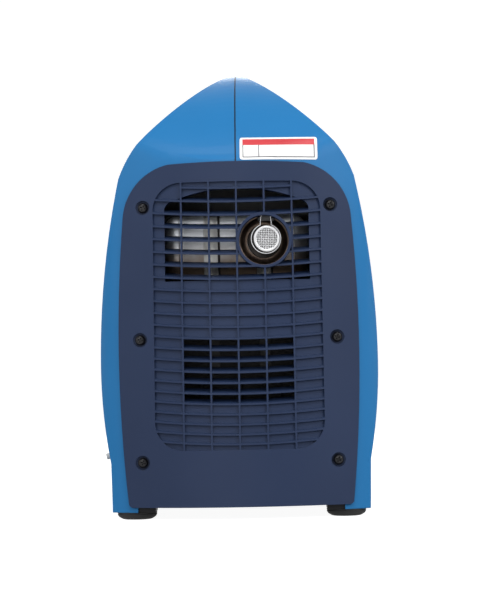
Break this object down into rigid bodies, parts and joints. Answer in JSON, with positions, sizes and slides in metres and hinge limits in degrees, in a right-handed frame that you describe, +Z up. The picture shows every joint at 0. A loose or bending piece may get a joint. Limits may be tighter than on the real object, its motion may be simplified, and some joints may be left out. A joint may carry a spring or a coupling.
{
  "type": "portable inverter generator",
  "caption": "Suitcase-style petrol inverter generator: arched plastic case with carrying handle, rear exhaust grille, control end, recoil starter and engine inside.",
  "frame": {"origin": "on the ground under the middle of the case's footprint", "axes": "+X to the right seen from the exhaust end, where the starter grip is; -Y out of the exhaust end, +Y out of the control end; +Z up"},
  "size_m": [0.288, 0.52, 0.455],
  "materials": {
    "blue_shell": "fine-grained moulded plastic, blue",
    "slate_cover": "fine-grained moulded plastic, dark slate",
    "black_plastic": "black moulded plastic",
    "black_rubber": "black rubber",
    "screw_black": "black-coated steel",
    "panel_grey": "dark grey control plate",
    "red_plastic": "red plastic",
    "lamp_set": "coloured lamp lenses",
    "natural_tank": "natural polyethylene",
    "satin_steel": "satin stainless steel",
    "heat_steel": "heat-tinted steel",
    "cast_alu": "cast aluminium",
    "bright_steel": "bright steel",
    "painted_black_metal": "black painted sheet steel",
    "stator_copper": "laminated core with copper windings",
    "filter_foam": "foam",
    "ceramic_white": "ceramic and plated steel",
    "cord_fibre": "braided cord",
    "clear_tube": "translucent tube"
  },
  "bodies": {
    "case_and_engine": {"ac_socket_a": "black_plastic", "ac_socket_b": "black_plastic", "air_filter_case": "black_plastic", "air_filter_element": "filter_foam", "base_plate": "black_plastic", "carburettor": "black_plastic", "control_plate": "panel_grey", "crankcase": "cast_alu", "cylinder": "cast_alu", "cylinder_head": "cast_alu", "dc_socket": "black_plastic", "drain_spout": "clear_tube", "earth_terminal": "screw_black", "engine_mounts": "black_rubber", "exhaust_cover": "slate_cover", "exhaust_cover_screws": "screw_black", "exhaust_elbow": "satin_steel", "fan_shroud": "black_plastic", "foot_front_left": "black_rubber", "foot_front_right": "black_rubber", "foot_rear_left": "black_rubber", "foot_rear_right": "black_rubber", "front_cover": "slate_cover", "fuel_tank": "natural_tank", "heat_shield": "satin_steel", "indicator_lamps": "lamp_set", "intake_elbow": "black_plastic", "inverter_module": "cast_alu", "left_casing": "blue_shell", "muffler": "satin_steel", "muffler_bracket": "painted_black_metal", "outlet_dish": "heat_steel", "plug_cap": "black_rubber", "recoil_housing": "painted_black_metal", "recoil_spring": "bright_steel", "right_casing": "blue_shell", "rocker_cover": "bright_steel", "rope_guide": "black_plastic", "screen_clamp": "bright_steel", "spark_plug": "ceramic_white", "spark_screen": "bright_steel", "stator": "stator_copper", "tailpipe": "bright_steel"},
    "engine_rotating": {"crankshaft": "bright_steel", "rotor": "bright_steel", "cooling_fan": "black_plastic"},
    "starter_handle": {"starter_grip": "black_plastic", "starter_rope": "cord_fibre"},
    "starter_pulley": {"recoil_pulley": "black_plastic"},
    "cap_gasket": {"fuel_cap_gasket": "black_rubber"},
    "fuel_cap": {"fuel_cap": "black_plastic"},
    "vent_knob": {"vent_knob": "black_plastic"},
    "run_knob": {"run_knob": "red_plastic"},
    "eco_switch": {"eco_switch": "black_plastic"},
    "breaker_button": {"breaker_button": "red_plastic"},
    "lid_a": {"socket_lid_a": "black_plastic"},
    "lid_b": {"socket_lid_b": "black_plastic"},
    "maintenance_cover": {"maintenance_cover": "blue_shell"},
    "latch_knob": {"latch_knob": "black_plastic"},
    "oil_cap": {"oil_cap": "black_plastic"}
  },
  "joints": [
    {"name": "crank_spin", "type": "hinge", "parent": "case_and_engine", "child": "engine_rotating", "pos_m": [0, 0, 0.118], "axis": [0, 1, 0], "continuous": true},
    {"name": "starter_pull", "type": "slide", "parent": "case_and_engine", "child": "starter_handle", "axis": [1, 0, 0], "range_m": [0, 0.55]},
    {"name": "pulley_turn", "type": "hinge", "parent": "case_and_engine", "child": "starter_pulley", "pos_m": [0, 0.118, 0.118], "axis": [0, 1, 0], "range_deg": [0, 760]},
    {"name": "fuel_cap_lift", "type": "slide", "parent": "case_and_engine", "child": "cap_gasket", "axis": [0, 0, 1], "range_m": [0, 0.06]},
    {"name": "fuel_cap_turn", "type": "hinge", "parent": "cap_gasket", "child": "fuel_cap", "pos_m": [0, 0.128, 0.418], "axis": [0, 0, 1], "range_deg": [0, 90]},
    {"name": "vent_turn", "type": "hinge", "parent": "fuel_cap", "child": "vent_knob", "pos_m": [0, 0.128, 0.418], "axis": [0, 0, 1], "range_deg": [0, 90]},
    {"name": "run_knob_turn", "type": "hinge", "parent": "case_and_engine", "child": "run_knob", "pos_m": [-0.06, 0.21048, 0.28087], "axis": [0, 0.9962, 0.0872], "range_deg": [-90, 0]},
    {"name": "eco_switch_rock", "type": "hinge", "parent": "case_and_engine", "child": "eco_switch", "pos_m": [-0.06, 0.21, 0.23465], "axis": [1, 0, 0], "range_deg": [0, 18]},
    {"name": "breaker_press", "type": "slide", "parent": "case_and_engine", "child": "breaker_button", "axis": [0, -0.9962, -0.0872], "range_m": [0, 0.002], "stiffness_N_per_m": 500},
    {"name": "lid_a_swing", "type": "hinge", "parent": "case_and_engine", "child": "lid_a", "pos_m": [0.05, 0.2189, 0.24888], "axis": [1, 0, 0], "range_deg": [0, 110], "stiffness_Nm_per_rad": 0.02},
    {"name": "lid_b_swing", "type": "hinge", "parent": "case_and_engine", "child": "lid_b", "pos_m": [-0.006, 0.2189, 0.24888], "axis": [1, 0, 0], "range_deg": [0, 110], "stiffness_Nm_per_rad": 0.02},
    {"name": "cover_off", "type": "slide", "parent": "case_and_engine", "child": "maintenance_cover", "axis": [-1, 0, 0], "range_m": [0, 0.06]},
    {"name": "latch_turn", "type": "hinge", "parent": "maintenance_cover", "child": "latch_knob", "pos_m": [-0.134, -0.02, 0.244], "axis": [-1, 0, 0], "range_deg": [0, 90]},
    {"name": "oil_cap_turn", "type": "hinge", "parent": "case_and_engine", "child": "oil_cap", "pos_m": [-0.083, -0.066, 0.1], "axis": [-1, 0, 0], "range_deg": [0, 180]}
  ],
  "couplings": [
    {"joint": "pulley_turn", "follows": "starter_pull", "rad_per_m": 23.809}
  ]
}
